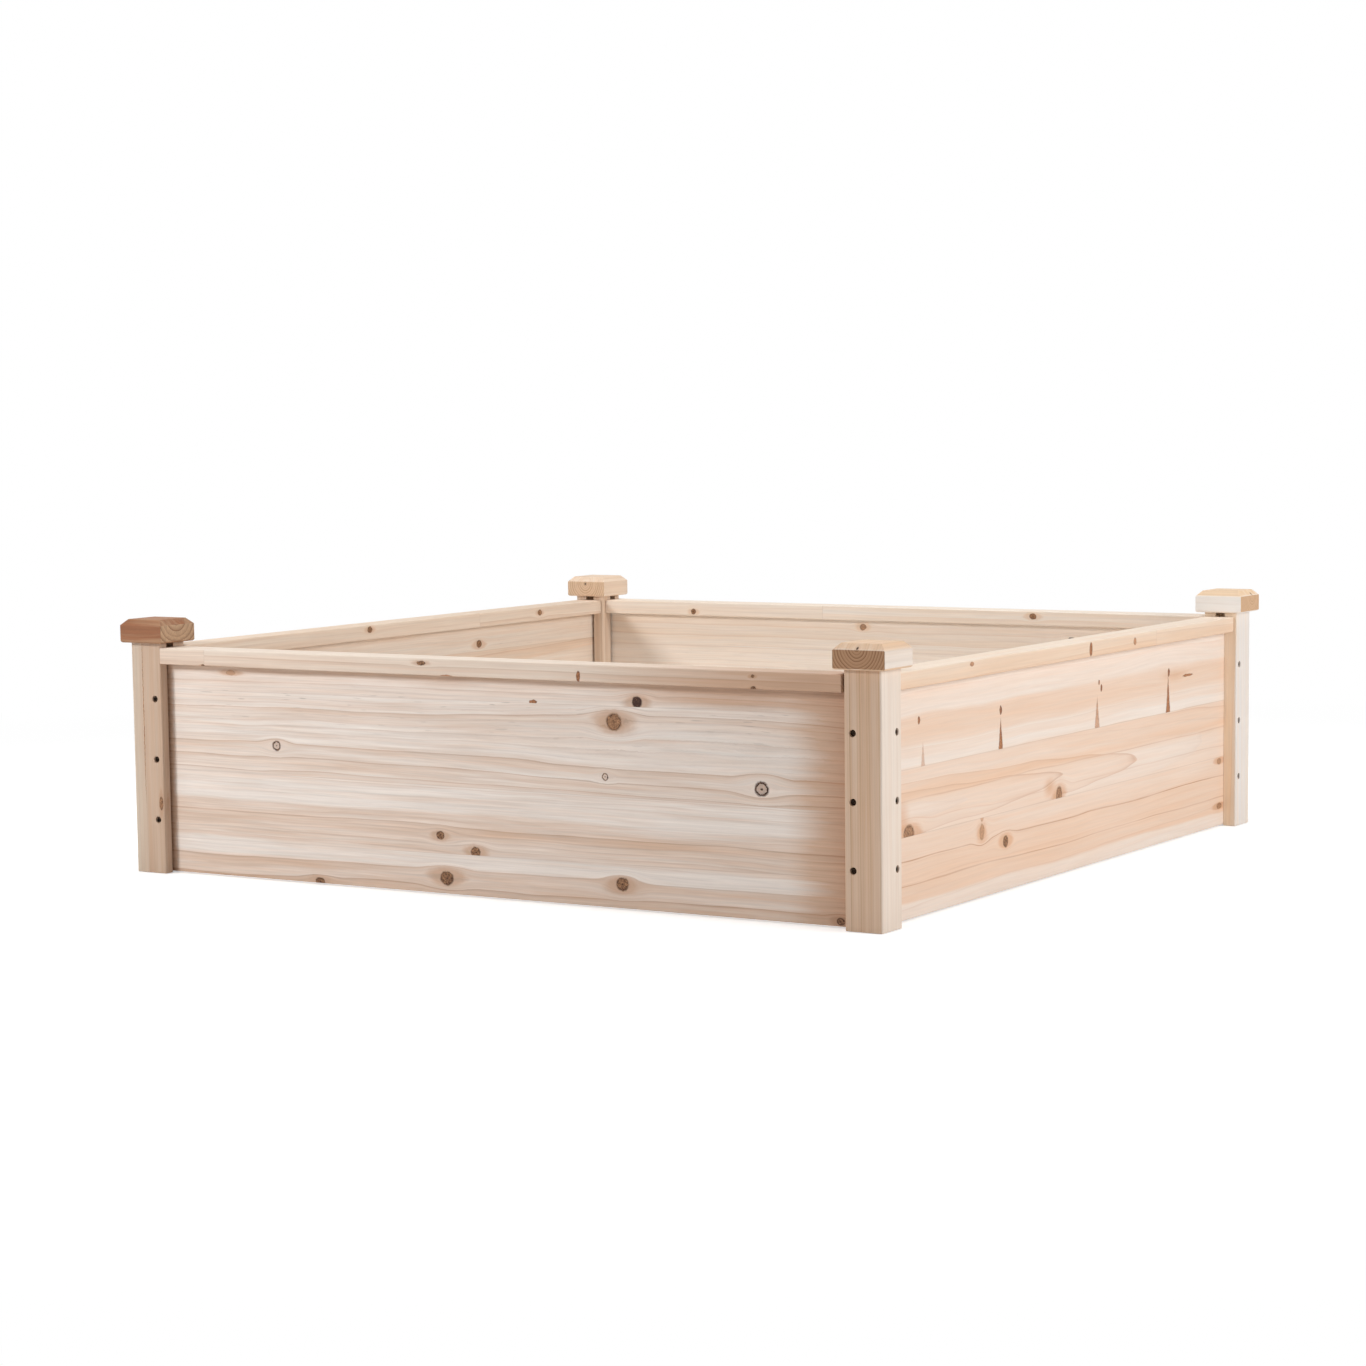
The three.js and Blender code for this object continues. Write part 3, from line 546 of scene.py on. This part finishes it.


# The wall panels: 9 mm boards of planed fir staves, glued edge to edge, that slide into the posts'
# grooves. Each has its own knots and bands.

# The front panel carries painted shade at its ends: a broad darkening beside the right post, and a narrow
# dark band beside the left one.

painted_shade_by_posts = [(490, 125, 120, 500, 2.3, "stain_and_shade"), (-462, 125, 15, 500, 2.5, "stain_and_shade")]
panel_wood = {
    "front": {
        "turned": (0, 0, 0), "wander": 4.0, "streaky": 0.3,
        "cuts": [((-0.0117, 0, 1), 47.5), ((0.002, 0, 1), 123), ((-0.006, 0, 1), 220.5)],
        "boards": [
            {"pith": (-400, -40), "slope": 0.005, "ring": 5.5, "years": 0.3, "knots": [
                (-60, 19, 9, 8, 0.3, "disc"), (173.5, 28, 8, 7.5, 0.25, "disc"),
                (-239, 3, 7, 5, 0.3, "disc"), (443, 7, 5, 4, 0.4, "disc"), *painted_shade_by_posts]},
            {"pith": (-400, -20), "slope": -0.005, "ring": 5, "years": 0.3, "knots": [
                (-68, 67, 5.5, 5, 0.3, "disc"), (-20, 51, 6.5, 6, 0.25, "disc"), *painted_shade_by_posts]},
            {"pith": (-420, 60), "slope": 0.005, "ring": 6, "years": 0.35, "knots": [
                (165, 204.5, 9.8, 9.6, 0.15, "disc"), (163, 204, 22, 15, 0.5, "stain_and_shade"),
                (-298, 157.5, 6, 5.8, 0.3, "ring"), (349, 141, 8.6, 8, 0.45, "ring"),
                (153, 144, 4.2, 4.2, 0.2, "ring"), (300, 176, 95, 26, 0.5, "swell"), *painted_shade_by_posts]},
            {"pith": (-420, 120), "slope": 0.005, "ring": 5, "years": 0.2, "knots": [
                # The long, faint stain along this board's top, just under the rail, is painted shade under
                # the rail's overhang.
                (195, 227, 6.5, 6.5, 0.85, "disc"), (330, 238, 200, 24, 0.8, "stain_and_shade"),
                (60, 222, 5, 2.5, 0.3, "dot"), (-363, 240, 7, 3, -0.2, "disc"), *painted_shade_by_posts]},
        ],
        "bands": [
            (0, 0.75, 0.5, 0), (12, 0.65, 0.8, 0), (28, 0.6, 0.6, 0), (32, 0.1, 0.25, 0), (45, 0.1, 0.25, 0),
            (50, 0.55, 0.8, 0), (70, 0.65, 0.9, 0), (88, 0.55, 0.7, 0), (97, 0.1, 0.2, 0), (118, 0.1, 0.3, 0),
            (126, 0.35, 0.5, 0), (150, 0.45, 0.7, 0), (175, 0.25, 0.7, 0.1), (200, 0.4, 0.8, 0.3),
            (219, 0.25, 0.7, 0.45), (224, 0.3, 0.4, 0.1), (238, 0.35, 0.4, 0), (243, 0.9, 0.6, 0),
            (248, 1, 0.7, 0)],
        "colours": ["f2e7de", "dcbda5", "b3876a", "d2b294"]},
    "right": {
        "turned": (0, 0, 90), "wander": 4.5, "streaky": 0.12,
        "veins": [(37, 0.6), (64, 0.7), (103, 0.2), (127, 0.3)],
        "cuts": [((0, 0, 1), 89.5), ((0, 0, 1), 161)],
        "boards": [
            {"pith": (-440, -25), "slope": 0.015, "ring": 9, "years": 0.15, "knots": [
                (-236, 74, 6, 9, -0.15, "disc"), (-177, 56.5, 6.5, 6.5, 0.2, "disc"),
                (-236, 90, 4, 5, -0.2, "dot"), (441, 84, 7, 4, -0.1, "disc"), (442, 27, 8, 4, 0, "disc")]},
            {"pith": (-455, 113), "slope": -0.038, "ring": 8.7, "years": 0.25, "knots": [
                (-409, 92, 12, 10, 0.05, "disc"), (-37, 92, 8, 11.5, 0.05, "disc"),
                (-62, 104, 22, 16, 0.6, "stain_and_shade"), (-425, 112, 24, 22, 0.5, "stain_and_shade")]},
            {"pith": (-380, 60), "slope": 0.0, "ring": 8, "years": 0.2, "knots": [
                (-385, 210.5, 2.8, 4.5, 0.1, "dot"), (-189, 204.5, 2.8, 5, 0.5, "dot"),
                (79.5, 207, 2.6, 4.5, 0.4, "dot"), (73, 214, 2.2, 3, 0.2, "dot"),
                (279, 210, 3, 5, 0.4, "dot"), (338, 202, 16, 1.5, 0.1, "dot"),
                (-376, 161, 4.5, 26, -0.25, "spike"), (-189, 161, 5.5, 34, 0.15, "spike"),
                (68, 161, 7, 36, -0.1, "spike"), (277, 160, 6.5, 46, 0.15, "spike"),
                (279, 215, 30, 12, 0.5, "swell"), (300, 205, 60, 10, 0.35, "stain_and_shade")]},
        ],
        "bands": [
            (0, 0.1, 0.15, 0), (17, 0.1, 0.15, 0), (20, 0.65, 0.15, 0), (42, 0.7, 0.2, 0), (68, 0.6, 0.15, 0),
            (88, 0.5, 0.2, 0), (91, 0.35, 0.3, 0), (112, 0.35, 0.5, 0), (124, 0.45, 0.5, 0),
            (132, 0.8, 0.4, 0), (140, 0.6, 0.3, 0), (159, 0.5, 0.3, 0), (163, 0.15, 0.1, 0),
            (181, 0.2, 0.1, 0), (186, 0.6, 0.2, 0), (200, 0.7, 0.25, 0), (214, 0.6, 0.2, 0),
            (218, 0.2, 0.15, 0), (248, 0.15, 0.15, 0)],
        "colours": ["f3e5d9", "ecc4a4", "b97b50", "d2b294"]},
    "back": {
        "turned": (0, 0, 180), "wander": 4.0, "streaky": 0.2,
        "cuts": [((0, 0, 1), 62), ((0, 0, 1), 134), ((0, 0, 1), 205)],
        "boards": [
            {"pith": (-430, 20), "slope": -0.02, "ring": 8, "years": 0.3, "knots": [
                (-210, 34, 8, 7, 0.2, "disc"), (288, 22, 6, 6, 0.4, "ring")]},
            {"pith": (-450, 98), "slope": 0.03, "ring": 9, "years": 0.4, "knots": [
                (120, 92, 9, 8, 0.2, "disc"), (-352, 104, 5, 5, 0.4, "ring")]},
            {"pith": (-420, 60), "slope": 0.01, "ring": 6, "years": 0.3, "knots": [
                (-84, 171, 7, 6, 0.2, "disc"), (371, 160, 8, 7, 0.3, "disc")]},
            {"pith": (-430, 300), "slope": -0.01, "ring": 6, "years": 0.3, "knots": [
                (49.8, 238.2, 5, 4.5, 0, "disc"), (-261, 228, 6, 5, 0.4, "ring")]},
        ],
        "bands": [
            (0, 0.3, 0.4, 0), (30, 0.55, 0.5, 0), (60, 0.4, 0.4, 0), (64, 0.1, 0.2, 0), (100, 0.5, 0.6, 0),
            (134, 0.2, 0.3, 0), (180, 0.5, 0.5, 0.1), (205, 0.3, 0.3, 0.1), (215, 0.5, 0.3, 0),
            (250, 0.4, 0.3, 0)],
        "colours": ["fdf3e8", "fbe4cc", "dcae86", "d8ba9c"]},
    "left": {
        "turned": (0, 0, 270), "wander": 4.0, "streaky": 0.2,
        "cuts": [((0, 0, 1), 71), ((0, 0, 1), 149), ((0, 0, 1), 214)],
        "boards": [
            {"pith": (-455, 30), "slope": 0.03, "ring": 9, "years": 0.4, "knots": [
                (152, 40, 9, 8, 0.2, "disc"), (-330, 18, 5, 5, 0.4, "ring")]},
            {"pith": (-420, -20), "slope": -0.01, "ring": 6, "years": 0.3, "knots": [
                (-118, 118, 7, 6, 0.2, "disc"), (302, 96, 8, 7, 0.5, "ring")]},
            {"pith": (-450, 190), "slope": -0.025, "ring": 9, "years": 0.4, "knots": [
                (36, 183, 8, 8, 0.2, "disc"), (-404, 176, 6, 5, 0.5, "disc")]},
            {"pith": (-420, 130), "slope": 0.01, "ring": 5, "years": 0.2, "knots": [
                (220, 231, 5, 5, 0.4, "ring"), (-176, 224, 6, 5, 0.2, "disc")]},
        ],
        "bands": [
            (0, 0.15, 0.2, 0), (24, 0.5, 0.5, 0), (70, 0.4, 0.4, 0), (74, 0.6, 0.5, 0), (120, 0.3, 0.4, 0.2),
            (149, 0.1, 0.2, 0), (170, 0.4, 0.5, 0), (213, 0.5, 0.5, 0), (217, 0.2, 0.2, 0.2),
            (250, 0.3, 0.3, 0)],
        "colours": ["f0e2d3", "e4c2a4", "c4936c", "d2b294"]},
}

for side, wood in panel_wood.items():
    panel = frame["nodes"]["panel_" + side]
    panel.material_slots[0].material = fir("planed fir of the panel, " + side, middle=(0, 0, 0), **wood)


# The screws: 28 mm steel pan heads with a cross recess, three to each end of a panel. Their bronze passivated
# steel is painted darker, as painted shade of a deeper hole.
# They are driven through the post's groove, and their heads sit 3 mm down in the counterbores.

head_shape = turned_shape([(0, 0.0017), (0.0015, 0.00165), (0.0028, 0.0012), (0.0034, 0.0006),
                           (0.0035, 0.0002), (0.0034, 0), (0.0017, 0), (0.0016, -0.0225),
                           (0.0011, -0.0252), (0, -0.028)], 20)
thread_turns = 11
thread_length = 0.019
thread_steps = 12 * thread_turns
ridge = bmesh.new()
crest = [ridge.verts.new(point)
         for point in ((0.0014, 0, -0.003), (0.0023, 0, -0.0034), (0.0014, 0, -0.0038))]
ridge_edges = [ridge.edges.new(pair) for pair in zip(crest, crest[1:] + crest[:1])]
ridge.faces.new(crest)
bmesh.ops.spin(ridge, geom=ridge.faces[:] + ridge_edges + crest, axis=(0, 0, 1), cent=(0, 0, 0),
               dvec=(0, 0, -thread_length / thread_steps), angle=math.tau * thread_turns,
               steps=thread_steps)
bmesh.ops.recalc_face_normals(ridge, faces=ridge.faces)
thread_mesh = bpy.data.meshes.new("thread")
ridge.to_mesh(thread_mesh)
ridge.free()

screw_master = new_piece("screw", head_shape)
for reach_x, reach_y in ((0.0017, 0.0003), (0.0003, 0.0017)):
    recess = bmesh.new()
    block(recess, (-reach_x, -reach_y, 0.0006), (reach_x, reach_y, 0.003))
    cut_away(screw_master, recess)

# The near black brown of the steel is partly painted shade, which makes the heads look sunk deeper in their
# holes.
steel, tree = new_material("bronze passivated steel, darkened with painted hole shade")
spots = add(tree, "TexNoise", add(tree, "TexCoord").outputs["Object"],
            sockets={"Scale": 900.0, "Detail": 2.0})
steel_with_hole_shade = ramp(tree, spots.outputs["Fac"], [(0.35, hex_colour("0c0806")), (0.7, hex_colour("3a2a1e"))])
rough = add(tree, "MapRange", spots.outputs["Fac"], 0.3, 0.7, 0.4, 0.55)
add(tree, "OutputMaterial", add(tree, "BsdfPrincipled", sockets={
    "Base Color": steel_with_hole_shade, "Roughness": rough, "Metallic": 0.9}))

for side, outward in (("front", (0, -1, 0)), ("right", (1, 0, 0)), ("back", (0, 1, 0)), ("left", (-1, 0, 0))):
    for end in ("start", "end"):
        for height_name, height in zip(("low", "mid", "high"), screw_heights):
            node = "screw_%s_%s_%s" % (side, end, height_name)
            low, high = (Vector(corner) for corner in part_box(node))
            seat = (low + high) / 2
            for axis in (0, 1):
                if outward[axis]:
                    seat[axis] = outward[axis] * (half_bed - screw_sink)
            shape = bmesh.new()
            shape.from_mesh(screw_master.data)
            shape.from_mesh(thread_mesh)
            spin_by = Matrix.Rotation(math.radians(17 + 61 * len(bpy.data.objects)), 4, "Z")
            bmesh.ops.transform(shape, matrix=at_face(seat, outward) @ spin_by, verts=shape.verts)
            finish(new_piece(node + "_driven", shape), steel, "screw_steel", node)

bpy.data.objects.remove(screw_master)


# The top rails: planed fir, finger jointed end to end, grooved along the underside and glued over
# the panels' upper edges, so that no end grain or thin edge of a panel shows from above.

rail_wood = {
    "front": {
        "turned": (0, 0, 0), "middle": (0, -0.482, 0.257), "streaky": 0.2,
        "cuts": [((1, 0, 0), -389.4)],
        "boards": [
            {"pith": (60, -90), "slope": 0.01, "ring": 4, "years": 0.2, "knots": [
                (-391, -9, 3, 2, 0.3, "disc")]},
            {"pith": (-70, -60), "slope": 0.005, "ring": 4, "years": 0.25, "knots": [
                (-78.7, 4.5, 6, 2.6, 0.2, "disc"), (-45, -9, 8, 1.6, 0, "dot"),
                (130, -3.5, 2.4, 6, 0.3, "dot"), (348, 4.7, 2.4, 2, 0.2, "disc"),
                (348.5, -9, 3.6, 3.2, 0.4, "disc"),
                # This broad stain is painted shade: the rail darkens towards the right post.
                (480, 0, 420, 500, 0.9, "stain_and_shade")]},
        ],
        "bands": [(-10, 0.6, 0.5, 0), (0, 0.3, 0.4, 0), (8, 0.3, 0.3, 0), (10, 0.1, 0.1, 0)],
        "colours": ["eedfd0", "d6b399", "b08464", "e2ccb6"]},
    "right": {
        "turned": (0, 0, 90), "middle": (0.477, 0, 0.257), "streaky": 0.14,
        "cuts": [((1, 0, 0), 212)],
        "boards": [
            {"pith": (70, -80), "slope": 0.01, "ring": 4.5, "years": 0.2, "knots": [
                (-284.7, 5.8, 5, 2.6, 0, "dot"), (22.7, 0, 4, 8, 0.2, "dot"),
                (148, 0.5, 4, 4.5, 0, "dot")]},
            {"pith": (-60, -60), "slope": 0.02, "ring": 5, "years": 0.2, "knots": []},
        ],
        "bands": [(-10, 0.75, 0.2, 0), (0, 0.6, 0.2, 0), (8, 0.5, 0.15, 0), (10, 0.1, 0.1, 0)],
        "colours": ["f3e2d0", "eac4a3", "c48f66", "e2ccb6"]},
    "back": {
        "turned": (0, 0, 180), "middle": (0, 0.482, 0.257), "streaky": 0.2,
        "cuts": [((1, 0, 0), 104)],
        "boards": [
            {"pith": (60, -70), "slope": 0.01, "ring": 4.5, "years": 0.25, "knots": [
                (-212, 3, 5, 4, 0.1, "disc")]},
            {"pith": (-70, -80), "slope": 0.01, "ring": 4, "years": 0.25, "knots": [
                (310, -3, 4, 4, 0.2, "disc")]},
        ],
        "bands": [(-10, 0.5, 0.3, 0), (0, 0.3, 0.2, 0), (10, 0.3, 0.2, 0)],
        "colours": ["fbefe2", "f7dcc0", "d6a57c", "e2ccb6"]},
    "left": {
        "turned": (0, 0, 270), "middle": (-0.477, 0, 0.257), "streaky": 0.2,
        "cuts": [((1, 0, 0), -157)],
        "boards": [
            {"pith": (60, -70), "slope": 0.01, "ring": 4, "years": 0.25, "knots": [
                (-301, 2, 5, 4, 0.1, "disc")]},
            {"pith": (-60, -80), "slope": 0.01, "ring": 5, "years": 0.25, "knots": [
                (88, 4, 5, 4, 0.2, "disc")]},
        ],
        "bands": [(-10, 0.4, 0.4, 0), (0, 0.3, 0.3, 0), (10, 0.4, 0.2, 0)],
        "colours": ["efdecc", "e2c0a2", "c08c66", "e2ccb6"]},
}

for side, wood in rail_wood.items():
    rail = frame["nodes"]["rail_" + side]
    rail.material_slots[0].material = fir("planed fir of the rail, " + side, **wood)


# The cap dowels: fluted beech pins, glued half into the post's top and half into the cap.
# Beech is dense and even, with short dark flecks and no visible rings at this size.

beech, tree = new_material("fluted beech dowel")
inside = add(tree, "Mapping", add(tree, "TexCoord").outputs["Object"], (0, 0, 0), (0, 0, 0),
             (1600, 1600, 260))
pores = add(tree, "TexNoise", inside, sockets={"Scale": 1.0, "Detail": 2.0})
warm = ramp(tree, pores.outputs["Fac"], [(0.3, hex_colour("b98d62")), (0.55, hex_colour("dcb98f"))])
raised = add(tree, "Bump", sockets={"Strength": 0.3, "Distance": 0.0002, "Height": pores.outputs["Fac"]})
add(tree, "OutputMaterial", add(tree, "BsdfPrincipled", sockets={
    "Base Color": warm, "Roughness": 0.62, "IOR": 1.5, "Normal": raised}))

for corner in post_wood:
    node = "cap_dowel_" + corner
    low, high = (Vector(end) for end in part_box(node))
    pin = bmesh.new()
    bmesh.ops.create_cone(pin, cap_ends=True, segments=32, radius1=0.004, radius2=0.004, depth=high.z - low.z,
                          matrix=Matrix.Translation((low + high) / 2))
    ends = [edge for edge in pin.edges if abs(edge.verts[0].co.z - edge.verts[1].co.z) < 1e-6]
    bmesh.ops.bevel(pin, geom=ends, offset=0.0008, segments=1, profile=0.5, affect="EDGES", material=-1)
    flutes = [face for face in pin.faces if abs(face.normal.z) < 0.1][::2]
    bmesh.ops.inset_individual(pin, faces=flutes, thickness=0.0001, depth=-0.0002)
    finish(new_piece(node + "_fluted", pin), beech, "beech_dowel", node)


# The post caps: 62 mm squares of 28 mm planed fir, chamfered all round the top, eased underneath and
# pushed onto the dowels. Each is cut near the tree's heart, so its sawn ends show arcs of year rings.

# Each edge is where it lies, from the bottom, 0, to the top, 1, and how far it is cut back.

cap_edges = ((1, 0.007), (0, 0.0015))
cap_bore_depth = 0.0143
cap_wood = {
    "front_left": {
        "turned": (0, 0, 0), "streaky": 0.5,
        "boards": [{"pith": (0, 24), "slope": 0.04, "ring": 6, "years": 0.6, "knots": [
            (-14, 2, 14, 9, 0.5, "swell"), (-24, 8, 22, 12, 0.5, "stain_and_shade")]}],
        "bands": [(-13, 0.3, 0.3, 0), (5, 0.5, 0.3, 0), (13, 0.3, 0.3, 0)],
        "colours": ["b08a6a", "9a6545", "7c5034", "c2a080"]},
    "front_right": {
        "turned": (0, 0, 90), "streaky": 0.12,
        "boards": [{"pith": (2, 8.5), "slope": 0.01, "ring": 3.3, "years": 0.2, "knots": []}],
        "bands": [(-14, 1, 0.2, 0), (-12.6, 1, 0.2, 0), (-11.8, 0.1, 0.1, 0), (5, 0.15, 0.15, 0),
                  (8, 0.9, 0.2, 0), (14, 1, 0.2, 0)],
        "colours": ["efe3d8", "e4c2a2", "6a4229", "b58b68"]},
    "back_right": {
        "turned": (0, 0, 0), "streaky": 0.12,
        "boards": [{"pith": (8.5, 8.9), "slope": 0.01, "ring": 3.4, "years": 0.2, "knots": []}],
        "bands": [(-14, 0, 0.1, 0), (6, 0.05, 0.1, 0), (8, 0.9, 0.3, 0), (14, 0.9, 0.3, 0)],
        "colours": ["fffaf4", "eccba6", "b98c64", "d8b28e"]},
    "back_left": {
        "turned": (0, 0, 90), "streaky": 0.15,
        "boards": [{"pith": (1.2, 3.6), "slope": 0.01, "ring": 3.2, "years": 0.2, "knots": []}],
        "bands": [(-13, 0.4, 0.25, 0), (13, 0.5, 0.25, 0)],
        "colours": ["f6e6d4", "efcaa8", "b98c66", "e8c8a8"]},
}

for corner, wood in cap_wood.items():
    node = "cap_" + corner
    low, high = (Vector(end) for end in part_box(node))
    square = bmesh.new()
    block(square, low, high)
    for part, ease in cap_edges:
        height = low.lerp(high, part).z
        rim = [edge for edge in square.edges if all(abs(vert.co.z - height) < 1e-6 for vert in edge.verts)]
        bmesh.ops.bevel(square, geom=rim, offset=ease, segments=1, profile=0.5, affect="EDGES", material=-1)
    bmesh.ops.bevel(square, geom=square.edges[:], offset=0.0006, segments=3, profile=0.5, affect="EDGES",
                    material=-1)
    cap = new_piece(node + "_chamfered", square)
    bore = bmesh.new()
    bmesh.ops.create_cone(bore, cap_ends=True, segments=24, radius1=dowel_bore, radius2=dowel_bore,
                          depth=2 * cap_bore_depth,
                          matrix=Matrix.Translation(((low.x + high.x) / 2, (low.y + high.y) / 2, low.z)))
    cut_away(cap, bore)
    finish(cap, fir("planed fir of the cap, " + corner.replace("_", " "), middle=(low + high) / 2, **wood),
           "fir_cap", node)
